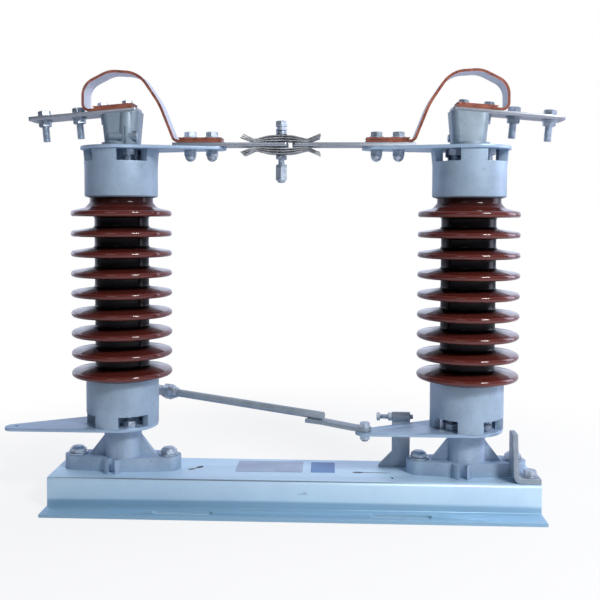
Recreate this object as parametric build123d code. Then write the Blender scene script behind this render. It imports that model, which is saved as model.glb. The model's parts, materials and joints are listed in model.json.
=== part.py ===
from build123d import *
import math
import os

# Centre-break disconnect switch: two rotating post insulators on a top-hat base frame.
# Millimetres, +Z up, X along the base, -Y is the front that the blades swing towards.
# The origin is on the floor, halfway between the two insulator axes.

# ---------------------------------------------------------------- driving sizes
# base frame
base_overhang = 107
base_top_width = 120
base_height = 50
base_flange_width = 40
base_wall = 5
base_outer_bend = 6
base_inner_bend = 2
base_slot_length = 94
base_slot_width = 14
base_slot_offset = 168
spare_hole_radius = 3
spare_hole_x = 155
spare_hole_y = -28

# insulator axes
column_spacing = 556

# bearing seats
seat_thickness = 22
seat_hub_radius = 30
seat_lobe_radius = 20
seat_bolt_offset = 75
seat_rib_width = 10
seat_rib_rise = 32
seat_ear_radius = 16
seat_ear_offset = 26
seat_ear_shift = -10
seat_notch_radius = 6
boss_height = 48.4
spindle_radius = 20
spindle_length = 58

# lever plates under the insulators
lever_thickness = 5
lever_disc_radius = 57
lever_tip_radius = 15
lever_tip_x = -164
lever_tip_y = -42

# cast end fittings
fitting_radius = 58
fitting_height = 75
fitting_cavity_depth = 22
fitting_cavity_radius = 46
fitting_hub_radius = 26
fitting_window_height = 19
fitting_foot_angle = 40
fitting_foot_count = 4
fitting_chamfer = 2
fitting_flare = 2.5
fitting_flare_height = 26
fitting_bolt_circle = 37
left_foot_turn = -14
right_foot_turn = -2
socket_depth = 45

# porcelain posts
shed_count = 9
shed_pitch = 32
shed_radius = 80
shed_rim_radius = 4.5
shed_root_rise = 9.5
shed_root_drop = 5
core_radius = 43
core_fillet = 3
neck_radius = 50
neck_fillet = 8
first_shed_rise = 7.5
last_shed_drop = 26.5

# blade plates and blades
blade_plate_thickness = 5
blade_plate_radius = 64
blade_plate_reach = 170
blade_plate_tip_radius = 25
blade_width = 40
blade_thickness = 6
blade_start = 86
blade_corner = 6
contact_centre = -20
blade_end_cover = 11
blade_end_gap = 7

# terminal heads and line terminals
head_stub_radius = 16
head_stub_height = 30
head_height = 52
head_foot_width = 52
head_top_width = 60
head_foot_depth = 50
head_top_depth = 56
head_centre_shift = 3
head_corner = 12
head_collar_radius = 31
head_collar_height = 6
head_lobe_radius = 13.5
head_lobe_x = 13.5
head_lobe_y = -17
clamp_y = -23
clamp_rise = 15
clamp_face_x = 25
clamp_face_radius = 8
clamp_length = 34
terminal_droop = 5
terminal_length = 174
terminal_inner_reach = 30
terminal_width = 45
terminal_thickness = 6
terminal_corner = 4
terminal_bolt_offsets = (-124, -68)

# flexible straps
strap_width = 40
strap_thickness = 5
strap_outer_reach = 56
strap_shoulder_rise = 41
strap_loop_rise = 60
strap_crown_start = -14
strap_crown_end = 33
strap_crown_fall = 3
strap_fall_x = 66
strap_fall_drop = 52
strap_foot_start = 89
strap_bends = (10, 28, 40, 42, 120, 9)
strap_pad_overhang = 17
strap_head_overhang = 12
strap_pad_thickness = 3

# contact fingers
finger_thickness = 3
finger_width = 38
finger_slit = 2
finger_arch = 9
finger_flare = 10
finger_half_length = 64
finger_contact_offset = 42
finger_bridge = 12

# cross link between the columns
link_rod_radius = 6.5
link_eye_radius = 15
link_eye_thickness = 14
link_eye_rise = 20
link_tongue_width = 20
link_tongue_thickness = 6
link_tongue_rise = 3
link_weld_depth = 0.5
link_tongue_length = 100
link_lap_length = 28
link_coupling_position = 104
link_coupling_flats = 24
link_coupling_length = 12
link_collar_length = 14
link_collar_radius = 13.5
link_barrel_length = 25
link_barrel_radius = 9
link_arm_thickness = 14
link_arm_root_radius = 20
link_arm_root_reach = 70
link_arm_tip_radius = 16

# travel stops on the base
stop_leg_offset = 65
stop_leg_lean = 3
stop_bend = 9
stop_leg_thickness = 8
stop_leg_rise = 78
stop_front_inset = 3
stop_leg_top_width = 25
stop_leg_foot_width = 34
stop_gusset_rise = 30
stop_foot_length = 34
stop_bolt_inset = 3
post_offset = -102
post_width = 29
post_thickness = 6
post_rise = 83
post_barrel_radius = 8
post_foot_depth = 33
post_gusset_length = 22
post_gusset_rise = 26
stop_screw_radius = 4
stop_screw_length = 54
stop_screw_lead = 20

# nameplate
nameplate_length = 108
nameplate_width = 56
nameplate_thickness = 0.8
nameplate_x = -38
nameplate_y = 14
nameplate_corner = 2

# bolts, by shank radius
washer_radius_ratio = 2
washer_height_ratio = 0.35
bolt_flats_ratio = 3
bolt_head_ratio = 1.3
nut_height_ratio = 1.6
bearing_bolt_radius = 8
bearing_bolt_tail = 4
stop_bolt_radius = 6
stop_bolt_tail = 3
arm_bolt_radius = 8
link_bolt_radius = 5
fitting_bolt_radius = 6
blade_bolt_radius = 6
blade_bolt_offsets = (112, 147)
contact_bolt_radius = 5
terminal_bolt_radius = 6
terminal_bolt_tail = 24
head_bolt_radius = 5
head_bolt_offsets = (-28, 12)
head_bolt_depth = 14
clamp_bolt_radius = 4
contact_top_reach = 36
contact_bottom_reach = 57
contact_cap_length = 27
contact_spring_radius = 9
contact_spring_height = 8

# ---------------------------------------------------------------- named clearances
running_clearance = 0.08
hole_clearance = 0.5
thrust_gap = 0.6
sliding_gap = 0.3
cement_gap = 0.3
pivot_gap = 0.4
spindle_end_gap = 2
clamp_slit = 1.5
stop_clearance = 5

# ---------------------------------------------------------------- derived levels
half_spacing = column_spacing / 2
base_length = column_spacing + base_overhang * 2
quarter_bend = 1 - math.sqrt(0.5)
seat_top_level = base_height + seat_thickness
boss_level = seat_top_level + boss_height
lever_level = boss_level + thrust_gap
lower_fitting_level = lever_level + lever_thickness
lower_socket_level = lower_fitting_level + fitting_height
first_shed_level = lower_socket_level + first_shed_rise
last_shed_level = first_shed_level + shed_pitch * (shed_count - 1)
upper_socket_level = last_shed_level + last_shed_drop
upper_fitting_level = upper_socket_level + fitting_height
blade_level = upper_fitting_level + blade_plate_thickness
blade_top_level = blade_level + blade_thickness
head_level = blade_level + thrust_gap
terminal_level = head_level + head_height
terminal_top_level = terminal_level + terminal_thickness
strap_end_thickness = strap_thickness + strap_pad_thickness
left_blade_length = half_spacing + contact_centre + blade_end_cover
right_blade_length = half_spacing - contact_centre - blade_end_cover - blade_end_gap

# The rod is pinned to an arm on the left column and to the lever tip on the right column. The arm's pin
# is the lever tip turned by 90 degrees, which keeps the pin distance the same at both ends of the travel.
link_arm_x = lever_tip_y
link_arm_y = -lever_tip_x
link_start = (-half_spacing + link_arm_x, link_arm_y)
link_end = (half_spacing + lever_tip_x, lever_tip_y)
link_length = math.dist(link_start, link_end)
link_heading = math.degrees(math.atan2(link_end[1] - link_start[1], link_end[0] - link_start[0]))
link_eye_level = lower_fitting_level + link_eye_rise
link_arm_level = link_eye_level + link_eye_thickness + pivot_gap
link_tongue_level = lower_fitting_level + sliding_gap
link_tongue_top = link_tongue_level + link_tongue_thickness
link_lap_top = link_tongue_top + link_tongue_rise
link_rod_length = link_length - link_tongue_length + link_lap_length
link_rod_level = link_eye_level + link_eye_thickness / 2
link_rod_drop = link_rod_level - (link_lap_top + link_rod_radius - link_weld_depth)

# The closed stop stands clear of the lever plate's rear edge, which is the tangent from its disc to its tip.
lever_spread = math.acos((lever_disc_radius - lever_tip_radius) / math.hypot(lever_tip_x, lever_tip_y))
lever_edge_bearing = math.atan2(lever_tip_y, lever_tip_x) - lever_spread
post_inner_edge = post_offset + post_width / 2
lever_edge_share = lever_disc_radius - post_inner_edge * math.cos(lever_edge_bearing)
post_front = lever_edge_share / math.sin(lever_edge_bearing) + stop_clearance

stop_bolt_x = stop_leg_offset + stop_leg_thickness + stop_foot_length / 2 + stop_bolt_inset
stop_bolt_y = -base_top_width / 2 + stop_front_inset + stop_leg_foot_width / 2
post_bolt_y = post_front + post_thickness + (post_foot_depth - post_thickness) / 2


# ---------------------------------------------------------------- fasteners
def hexagon(across_flats, height):
    """Hexagonal prism standing on z = 0, with its sharp corners taken off."""
    corner_radius = across_flats / math.sqrt(3)
    prism = extrude(RegularPolygon(corner_radius, 6), height)
    return prism & Pos(0, 0, height / 2) * Cylinder(corner_radius * 0.97, height)


def rod(radius, low, high):
    """Upright cylinder between two heights."""
    return Pos(0, 0, (low + high) / 2) * Cylinder(radius, high - low)


def upright_bolt(radius, grip, tail=0, dome=False, nut_washer=False):
    """Hex bolt with a washer seated on z = 0, clamping grip below it, with its nut underneath."""
    flats = radius * bolt_flats_ratio
    washer_radius = radius * washer_radius_ratio
    washer_height = radius * washer_height_ratio
    nut_height = radius * nut_height_ratio
    nut_level = -grip - nut_height
    bolt = rod(washer_radius, 0, washer_height)
    bolt += Pos(0, 0, washer_height) * hexagon(flats, radius * bolt_head_ratio)
    bolt += rod(radius, nut_level - tail, washer_height)
    bolt += Pos(0, 0, nut_level) * hexagon(flats, nut_height)
    if nut_washer:
        bolt += rod(washer_radius, -grip - washer_height, -grip)
    if dome:
        bolt += Pos(0, 0, nut_level) * Sphere(flats / 2 - 0.3)
    return bolt


def row_of(piece, offsets, level):
    """Copies of a piece along X."""
    copies = Part()
    for x in offsets:
        copies += Pos(x, 0, level) * piece
    return copies


# ---------------------------------------------------------------- plan outlines
def tapered_plan(first_radius, reach_x, reach_y, second_radius):
    """Two discs and the straight tangents between them."""
    reach = math.hypot(reach_x, reach_y)
    heading = math.atan2(reach_y, reach_x)
    swing = math.acos((first_radius - second_radius) / reach)
    corners = []
    for normal in (heading + swing, heading - swing):
        ray = (math.cos(normal), math.sin(normal))
        near = (first_radius * ray[0], first_radius * ray[1])
        far = (reach_x + second_radius * ray[0], reach_y + second_radius * ray[1])
        corners.append((near, far))
    outline = Polyline(corners[0][0], corners[0][1], corners[1][1], corners[1][0], close=True)
    plan = make_face(outline) + Circle(first_radius)
    return plan + Pos(reach_x, reach_y) * Circle(second_radius)


def on_circle(radius, count, start):
    """Points evenly spaced on a circle."""
    angles = [math.radians(start + 360 / count * index) for index in range(count)]
    return [(radius * math.cos(angle), radius * math.sin(angle)) for angle in angles]


def sector(radius, middle, angle):
    """Pie slice of a disc, centred on the direction called middle."""
    bearings = [math.radians(middle + angle * share) for share in (-0.5, 0, 0.5)]
    first, top, last = [(radius * math.cos(b), radius * math.sin(b)) for b in bearings]
    return make_face([Line((0, 0), first), ThreePointArc(first, top, last), Line(last, (0, 0))])


# ---------------------------------------------------------------- base frame
def top_holes():
    """Every hole in the top of the base, as x, y and radius."""
    bolt_hole = bearing_bolt_radius + hole_clearance
    stop_hole = stop_bolt_radius + hole_clearance
    holes = [(spare_hole_x, spare_hole_y, spare_hole_radius)]
    for axis in (-half_spacing, half_spacing):
        holes += [(axis - seat_bolt_offset, 0, bolt_hole), (axis + seat_bolt_offset, 0, bolt_hole)]
    holes.append((half_spacing + stop_bolt_x, stop_bolt_y, stop_hole))
    holes.append((half_spacing + post_offset, post_bolt_y, stop_hole))
    return holes


def base_frame():
    """Top-hat section bent from plate, open at both ends, with slotted feet."""
    half = base_top_width / 2
    inner = half - base_wall
    toe = half + base_flange_width
    ceiling = base_height - base_wall
    points = [(-toe, 0), (-inner, 0), (-inner, ceiling), (inner, ceiling), (inner, 0), (toe, 0)]
    points += [(toe, base_wall), (half, base_wall), (half, base_height)]
    points += [(-half, base_height), (-half, base_wall), (-toe, base_wall)]
    outer_corners = [(half, base_height), (inner, 0)]
    inner_corners = [(half, base_wall), (inner, ceiling)]
    section = make_face(Polyline(*points, close=True))
    for corners, bend in ((outer_corners, base_outer_bend), (inner_corners, base_inner_bend)):
        for y, z in corners:
            near = [v for v in section.vertices() if abs(abs(v.X) - y) < 0.01 and abs(v.Y - z) < 0.01]
            section = fillet(near, bend)
    frame = extrude(Plane.YZ * section, base_length / 2, both=True)
    slot = extrude(SlotOverall(base_slot_length, base_slot_width), base_wall * 2, both=True)
    slot_row = half + base_flange_width / 2
    for x in (-base_slot_offset, base_slot_offset):
        for y in (-slot_row, slot_row):
            frame -= Pos(x, y, 0) * slot
    for x, y, radius in top_holes():
        frame -= Pos(x, y, base_height) * Cylinder(radius, base_wall * 3)
    return frame


def nameplate():
    """Bare plate on the top of the base."""
    blank = extrude(RectangleRounded(nameplate_length, nameplate_width, nameplate_corner), nameplate_thickness)
    return Pos(nameplate_x, nameplate_y, base_height) * blank


# ---------------------------------------------------------------- bearing seats
def bearing_seat():
    """Casting with two bolted lobes, two notched ears and the boss that carries the spindle."""
    plan = tapered_plan(seat_hub_radius, seat_bolt_offset, 0, seat_lobe_radius)
    plan += tapered_plan(seat_hub_radius, -seat_bolt_offset, 0, seat_lobe_radius)
    notch_depth = seat_ear_radius
    for side in (-1, 1):
        plan += Pos(seat_ear_shift, side * seat_ear_offset) * Circle(seat_ear_radius)
    for side in (-1, 1):
        mouth = side * (seat_ear_offset + seat_ear_radius)
        plan -= Pos(seat_ear_shift, mouth) * SlotOverall(notch_depth * 2, seat_notch_radius * 2, rotation=90)
    seat = extrude(plan, seat_thickness)
    boss_total = seat_thickness + boss_height
    seat += rod(seat_hub_radius, 0, boss_total)
    rib_end = seat_bolt_offset - seat_lobe_radius
    rib_top = seat_thickness + seat_rib_rise
    for side in (-1, 1):
        corners = [(0, seat_thickness), (side * rib_end, seat_thickness)]
        corners += [(side * seat_hub_radius, rib_top), (0, rib_top)]
        web = make_face(Polyline(*corners, close=True))
        seat += extrude(Plane.XZ * web, seat_rib_width / 2, both=True)
        hole = rod(bearing_bolt_radius + hole_clearance, -1, seat_thickness + 1)
        seat -= Pos(side * seat_bolt_offset, 0, 0) * hole
    bore_floor = boss_total + thrust_gap - spindle_length - spindle_end_gap
    seat -= rod(spindle_radius + running_clearance, bore_floor, boss_total + 1)
    return Pos(0, 0, base_height) * seat


def bearing_bolts():
    bolt = upright_bolt(bearing_bolt_radius, seat_thickness + base_wall, bearing_bolt_tail)
    return row_of(bolt, (-seat_bolt_offset, seat_bolt_offset), seat_top_level)


# ---------------------------------------------------------------- lever plates
def lever_plate(foot_turn):
    """Teardrop lever welded to the spindle that turns in the bearing seat."""
    plate = extrude(tapered_plan(lever_disc_radius, lever_tip_x, lever_tip_y, lever_tip_radius), lever_thickness)
    plate += rod(spindle_radius, -spindle_length, lever_thickness)
    pin_hole = rod(link_bolt_radius + hole_clearance, -1, lever_thickness + 1)
    plate -= Pos(lever_tip_x, lever_tip_y, 0) * pin_hole
    bolt_hole = rod(fitting_bolt_radius + hole_clearance, -1, lever_thickness + 1)
    for x, y in fitting_bolt_places(foot_turn):
        plate -= Pos(x, y, 0) * bolt_hole
    return Pos(0, 0, lever_level) * plate


# ---------------------------------------------------------------- end fittings
def fitting_bolt_places(foot_turn):
    """The bolts stand in the windows between the feet."""
    step = 360 / fitting_foot_count
    return on_circle(fitting_bolt_circle, fitting_foot_count, -90 + foot_turn + step / 2)


def end_fitting(foot_turn, flare=0):
    """Cast cap that stands on feet at z = 0 and holds the porcelain in a socket at its top."""
    body = rod(fitting_radius, 0, fitting_height)
    body = chamfer(body.edges().filter_by(GeomType.CIRCLE).sort_by(Axis.Z)[-1], fitting_chamfer)
    if flare:
        skirt = Cone(fitting_radius + flare, fitting_radius, fitting_flare_height)
        body += Pos(0, 0, fitting_flare_height / 2) * skirt
    body -= extrude(Circle(fitting_cavity_radius) - Circle(fitting_hub_radius), fitting_cavity_depth)
    step = 360 / fitting_foot_count
    for index in range(fitting_foot_count):
        middle = -90 + foot_turn + step * (index + 0.5)
        window = sector(fitting_radius * 1.2, middle, step - fitting_foot_angle)
        body -= extrude(window - Circle(fitting_hub_radius), fitting_window_height)
    body -= rod(neck_radius + cement_gap, fitting_height - socket_depth, fitting_height + 1)
    stud_hole = rod(fitting_bolt_radius + hole_clearance, -1, fitting_height - socket_depth - 1)
    for x, y in fitting_bolt_places(foot_turn):
        body -= Pos(x, y, 0) * stud_hole
    return body


def left_lower_fitting():
    """The left fitting has the cast arm that carries the cross link."""
    heading = math.atan2(link_arm_y, link_arm_x)
    root_x = link_arm_root_reach * math.cos(heading)
    root_y = link_arm_root_reach * math.sin(heading)
    reach_x = link_arm_x - root_x
    reach_y = link_arm_y - root_y
    plan = tapered_plan(link_arm_root_radius, reach_x, reach_y, link_arm_tip_radius)
    arm = Pos(root_x, root_y, link_arm_level) * extrude(plan, link_arm_thickness)
    hole = rod(arm_bolt_radius + hole_clearance, link_arm_level - 1, link_arm_level + link_arm_thickness + 1)
    arm -= Pos(link_arm_x, link_arm_y, 0) * hole
    return Pos(0, 0, lower_fitting_level) * end_fitting(left_foot_turn) + arm


def upper_fitting(foot_turn):
    """The upper fittings widen towards the blade plate; the lower ones stay straight to clear the link."""
    return Pos(0, 0, upper_fitting_level) * mirror(end_fitting(foot_turn, fitting_flare), about=Plane.XY)


def fitting_bolts(foot_turn, plate_thickness):
    """Studs screwed up into the fitting, flush under the plate, each with a nut on the plate."""
    stud = rod(fitting_bolt_radius, -plate_thickness, fitting_height - socket_depth - 2)
    stud += hexagon(fitting_bolt_radius * bolt_flats_ratio, fitting_bolt_radius * nut_height_ratio)
    studs = Part()
    for x, y in fitting_bolt_places(foot_turn):
        studs += Pos(x, y, 0) * stud
    return studs


# ---------------------------------------------------------------- porcelain posts
def porcelain():
    """Solid post turned about its axis: nine sheds with rounded rims on a plain core."""
    low = lower_socket_level - socket_depth
    high = upper_socket_level + socket_depth
    rim_reach = shed_radius - shed_rim_radius
    here = (neck_radius, low)
    edges = [Line((0, low), here)]
    for index in range(shed_count):
        rim = first_shed_level + shed_pitch * index
        root_radius = core_radius if index else neck_radius
        underside = (root_radius, rim - shed_root_drop)
        rim_low = (rim_reach, rim - shed_rim_radius)
        rim_high = (rim_reach, rim + shed_rim_radius)
        edges += [Line(here, underside), Line(underside, rim_low)]
        edges.append(ThreePointArc(rim_low, (shed_radius, rim), rim_high))
        above, hollow = (neck_radius, neck_fillet) if index == shed_count - 1 else (core_radius, core_fillet)
        top_root = (above + hollow, rim + shed_root_rise)
        bend = (above + hollow * quarter_bend, rim + shed_root_rise + hollow * quarter_bend)
        here = (above, rim + shed_root_rise + hollow)
        edges += [Line(rim_high, top_root), ThreePointArc(top_root, bend, here)]
    edges += [Line(here, (neck_radius, high)), Line((neck_radius, high), (0, high)), Line((0, high), (0, low))]
    return revolve(Plane.XZ * make_face(edges), Axis.Z)


# ---------------------------------------------------------------- blade plates and blades
def blade_plate(foot_turn):
    """Teardrop plate on the upper fitting, with the stub that the terminal head turns on."""
    reach = blade_plate_reach - blade_plate_tip_radius
    plate = extrude(tapered_plan(blade_plate_radius, reach, 0, blade_plate_tip_radius), blade_plate_thickness)
    plate += rod(head_stub_radius, 0, blade_plate_thickness + head_stub_height)
    blade_hole = rod(blade_bolt_radius + hole_clearance, -1, blade_plate_thickness + 1)
    for x in blade_bolt_offsets:
        plate -= Pos(x, 0, 0) * blade_hole
    stud_hole = rod(fitting_bolt_radius + hole_clearance, -1, blade_plate_thickness + 1)
    for x, y in fitting_bolt_places(foot_turn):
        plate -= Pos(x, y, 0) * stud_hole
    return Pos(0, 0, upper_fitting_level) * plate


def blade(length, hole_offset=None):
    """Flat contact bar lying on its plate and reaching out to length from the column's axis."""
    run = length - blade_start
    bar = Pos(blade_start + run / 2, 0, blade_thickness / 2) * Box(run, blade_width, blade_thickness)
    bar = fillet(bar.edges().filter_by(Axis.Z).group_by(Axis.X)[-1], blade_corner)
    for x in blade_bolt_offsets:
        bar -= Pos(x, 0, 0) * rod(blade_bolt_radius + hole_clearance, -1, blade_thickness + 1)
    if hole_offset:
        bar -= Pos(hole_offset, 0, 0) * rod(contact_bolt_radius + hole_clearance, -1, blade_thickness + 1)
    return Pos(0, 0, blade_level) * bar


def blade_bolts():
    grip = strap_end_thickness + blade_thickness + blade_plate_thickness
    bolt = upright_bolt(blade_bolt_radius, grip, dome=True)
    return row_of(bolt, blade_bolt_offsets, blade_top_level + strap_end_thickness)


# ---------------------------------------------------------------- terminal heads
def drooped(piece):
    """Puts a piece drawn on z = 0 onto the head's top, which falls away towards the line."""
    return Pos(0, 0, terminal_level) * Rot(0, -terminal_droop, 0) * piece


def on_clamp(piece):
    """Puts a piece drawn upright on z = 0 onto the spot face of the clamp lobe, pointing at the blade."""
    return Pos(clamp_face_x, clamp_y, head_level + clamp_rise) * Rot(0, 90, 0) * piece


def terminal_head():
    """Split casting that turns on the stub and carries the line terminal on its sloping top."""
    foot = RectangleRounded(head_foot_width, head_foot_depth, head_corner)
    crown = RectangleRounded(head_top_width, head_top_depth, head_corner)
    lower = Pos(head_centre_shift, 0, head_level + head_collar_height) * foot
    body = loft([lower, drooped(Pos(head_centre_shift, 0) * crown)])
    body += rod(head_collar_radius, head_level, head_level + head_collar_height)
    body += Pos(head_lobe_x, head_lobe_y, 0) * rod(head_lobe_radius, head_level, terminal_level)
    body -= rod(head_stub_radius + running_clearance, head_level - 1, head_level + head_stub_height)
    body -= on_clamp(rod(clamp_face_radius, 0, head_top_width))
    body -= on_clamp(rod(clamp_bolt_radius + hole_clearance, -clamp_length - 1, 1))
    slit_run = head_top_depth
    slit = Box(clamp_slit, slit_run, head_stub_height * 2)
    body -= Pos(head_lobe_x, -head_stub_radius / 2 - slit_run / 2, head_level) * slit
    for x in head_bolt_offsets:
        body -= drooped(Pos(x, 0, 0) * rod(head_bolt_radius + hole_clearance, -head_bolt_depth - 1, 1))
    return body


def terminal_bar():
    """Flat line terminal lying on the head, reaching outwards and slightly down."""
    middle = terminal_inner_reach - terminal_length / 2
    bar = Pos(middle, 0, terminal_thickness / 2) * Box(terminal_length, terminal_width, terminal_thickness)
    bar = fillet(bar.edges().filter_by(Axis.Z), terminal_corner)
    for x in terminal_bolt_offsets:
        bar -= Pos(x, 0, 0) * rod(terminal_bolt_radius + hole_clearance, -1, terminal_thickness + 1)
    for x in head_bolt_offsets:
        bar -= Pos(x, 0, 0) * rod(head_bolt_radius + hole_clearance, -1, terminal_thickness + 1)
    return drooped(bar)


def head_bolts():
    """Screws through strap and bar into the head, and the clamp bolt across its split lobe."""
    length = strap_end_thickness + terminal_thickness + head_bolt_depth
    screw = hexagon(head_bolt_radius * bolt_flats_ratio, head_bolt_radius * bolt_head_ratio)
    screw += rod(head_bolt_radius, -length, 0)
    clamp = hexagon(clamp_bolt_radius * bolt_flats_ratio, clamp_bolt_radius * nut_height_ratio)
    clamp += rod(clamp_bolt_radius, -clamp_length, 0)
    return drooped(row_of(screw, head_bolt_offsets, terminal_thickness + strap_end_thickness)) + on_clamp(clamp)


def terminal_bolts():
    bolt = upright_bolt(terminal_bolt_radius, terminal_thickness, terminal_bolt_tail, nut_washer=True)
    return drooped(row_of(bolt, terminal_bolt_offsets, terminal_thickness))


# ---------------------------------------------------------------- flexible straps
def strap():
    """Laminated ribbon from the terminal bar, outwards, over the top and down to the blade."""
    start = max(head_bolt_offsets) + strap_head_overhang
    end = max(blade_bolt_offsets) + strap_pad_overhang
    middle = strap_thickness / 2
    head_line = terminal_thickness + middle
    first, lower_bend = [drooped(Pos(x, 0, head_line)).position for x in (start, -strap_outer_reach)]
    foot_line = blade_top_level + middle
    top = terminal_top_level + strap_loop_rise
    path = [(first.X, first.Z), (lower_bend.X, lower_bend.Z)]
    path.append((-strap_outer_reach, lower_bend.Z + strap_shoulder_rise))
    path += [(strap_crown_start, top), (strap_crown_end, top - strap_crown_fall)]
    path += [(strap_fall_x, top - strap_fall_drop), (strap_foot_start, foot_line), (end, foot_line)]
    line = FilletPolyline(*path, radius=list(strap_bends))
    ribbon = make_face(line.wire().offset_2d(middle, side=Side.BOTH))
    strip = extrude(Plane.XZ * ribbon, strap_width / 2, both=True)
    head_pad, head_holes = strap_end(min(head_bolt_offsets) - strap_head_overhang, start, head_bolt_offsets,
                                     head_bolt_radius)
    foot_pad, foot_holes = strap_end(min(blade_bolt_offsets) - strap_pad_overhang, end, blade_bolt_offsets,
                                     blade_bolt_radius)
    strip += drooped(Pos(0, 0, terminal_thickness) * head_pad) + Pos(0, 0, blade_top_level) * foot_pad
    return strip - drooped(head_holes) - Pos(0, 0, blade_top_level) * foot_holes


def strap_end(start, end, bolt_places, bolt_radius):
    """One pressed end of the strap on z = 0, and the rods that cut its bolt holes."""
    run = end - start
    pad = Pos(start + run / 2, 0, strap_end_thickness / 2) * Box(run, strap_width, strap_end_thickness)
    hole_top = strap_end_thickness + terminal_thickness + 1
    return pad, row_of(rod(bolt_radius + hole_clearance, -1, hole_top), bolt_places, 0)


# ---------------------------------------------------------------- contact fingers
def contact_fingers():
    """Arched leaves that press on both blades, drawn above them with the low points on z = 0."""
    middle = finger_thickness / 2
    path = [(-finger_half_length, middle + finger_flare), (-finger_contact_offset, middle)]
    path += [(-finger_bridge * 1.6, middle + finger_arch * 0.82), (0, middle + finger_arch)]
    path += [(finger_bridge * 1.6, middle + finger_arch * 0.82), (finger_contact_offset, middle)]
    path += [(finger_half_length, middle + finger_flare)]
    line = FilletPolyline(*path, radius=[20, 40, 60, 40, 20])
    leaf = make_face(line.wire().offset_2d(finger_thickness / 2, side=Side.BOTH))
    leaves = extrude(Plane.XZ * leaf, finger_width / 2, both=True)
    leaves = Pos(0, 0, -leaves.bounding_box().min.Z) * leaves
    slit_run = finger_half_length - finger_bridge + 5
    slit_rise = finger_arch + finger_flare + finger_thickness * 4
    for end in (-1, 1):
        for side in (-1, 1):
            slit = Box(slit_run, finger_slit, slit_rise)
            leaves -= Pos(end * (finger_bridge + slit_run / 2), side * finger_width / 6, slit_rise / 4) * slit
    leaves -= rod(contact_bolt_radius + hole_clearance, -1, slit_rise)
    return leaves


def upper_fingers():
    return Pos(contact_centre, 0, blade_top_level + sliding_gap) * contact_fingers()


def lower_fingers():
    turned = mirror(contact_fingers(), about=Plane.XY)
    return Pos(contact_centre, 0, blade_level - sliding_gap) * turned


def contact_bolt():
    """Bolt through the blade and both sets of leaves, with a long cap nut below."""
    low = blade_level - contact_bottom_reach
    high = blade_top_level + contact_top_reach
    flats = contact_bolt_radius * 3.4
    head_height = contact_bolt_radius * 1.6
    bolt = rod(contact_bolt_radius, low + contact_cap_length, high - head_height)
    bolt += Pos(0, 0, high - head_height) * hexagon(flats, head_height)
    spring_end = blade_top_level + sliding_gap + finger_arch + finger_thickness + contact_spring_height
    bolt += rod(contact_bolt_radius * 1.8, spring_end, high - head_height)
    bolt += Pos(0, 0, low + 4) * hexagon(flats, contact_cap_length - 4)
    bolt += Pos(0, 0, low + 2) * Cylinder(flats / 2 - 2, 4)
    return Pos(contact_centre, 0, 0) * bolt


def contact_springs():
    """A spring ring on each side of the fingers."""
    ring = rod(contact_spring_radius, 0, contact_spring_height)
    ring -= rod(contact_bolt_radius + hole_clearance, -1, contact_spring_height + 1)
    stand_off = sliding_gap + finger_arch + finger_thickness
    upper = Pos(0, 0, blade_top_level + stand_off) * ring
    lower = Pos(0, 0, blade_level - stand_off - contact_spring_height) * ring
    return Pos(contact_centre, 0, 0) * (upper + lower)


# ---------------------------------------------------------------- cross link
def on_link(piece):
    """Puts a piece drawn from the left pin along +X into its place on the switch."""
    return Pos(link_start[0], link_start[1], 0) * Rot(0, 0, link_heading) * piece


def link_rod():
    """Round rod with a forged eye at the left arm and a flat tongue welded under its right end."""
    start = Vector(0, 0, link_rod_level)
    finish = Vector(link_rod_length, 0, link_rod_level - link_rod_drop)
    shaft = extrude(Plane(start, z_dir=finish - start) * Circle(link_rod_radius), (finish - start).length)
    eye = rod(link_eye_radius, link_eye_level, link_eye_level + link_eye_thickness)
    tongue_start = link_length - link_tongue_length
    bend_start = tongue_start + link_lap_length
    bend_end = link_length - link_tongue_width
    upper = [(link_length, link_tongue_top), (bend_end, link_tongue_top)]
    upper += [(bend_start, link_lap_top), (tongue_start, link_lap_top)]
    lower = [(x, z - link_tongue_thickness) for x, z in reversed(upper)]
    strip = make_face(Polyline(*upper, *lower, close=True))
    tongue = extrude(Plane.XZ * strip, link_tongue_width / 2, both=True)
    tongue += Pos(link_length, 0, 0) * rod(link_tongue_width / 2, link_tongue_level, link_tongue_top)
    body = shaft + eye + tongue
    body -= rod(arm_bolt_radius + running_clearance, link_eye_level - 1, link_arm_level)
    pin_hole = rod(link_bolt_radius + hole_clearance, link_tongue_level - 1, link_tongue_top + 1)
    return on_link(body - Pos(link_length, 0, 0) * pin_hole)


def link_coupling():
    """Lock nut and tapered collar on the rod beside the left column."""
    half = link_coupling_length / 2
    nut = Pos(0, 0, -half) * hexagon(link_coupling_flats, link_coupling_length)
    collar_end = link_rod_radius + sliding_gap + 1
    nut += Pos(0, 0, half + link_collar_length / 2) * Cone(link_collar_radius, collar_end, link_collar_length)
    barrel_end = -half - link_barrel_length
    nut += rod(link_barrel_radius, barrel_end, -half)
    nut -= rod(link_rod_radius, barrel_end - 1, half + link_collar_length + 1)
    slope = math.degrees(math.atan2(link_rod_drop, link_rod_length))
    level = link_rod_level - link_rod_drop * link_coupling_position / link_rod_length
    return on_link(Pos(link_coupling_position, 0, level) * Rot(0, 90 + slope, 0) * nut)


def link_arm_bolt():
    """Bolt down through the arm and the rod's eye."""
    grip = link_arm_thickness + pivot_gap + link_eye_thickness + pivot_gap
    bolt = upright_bolt(arm_bolt_radius, grip)
    level = link_arm_level + link_arm_thickness
    return Pos(link_arm_x, link_arm_y, level) * bolt


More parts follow.
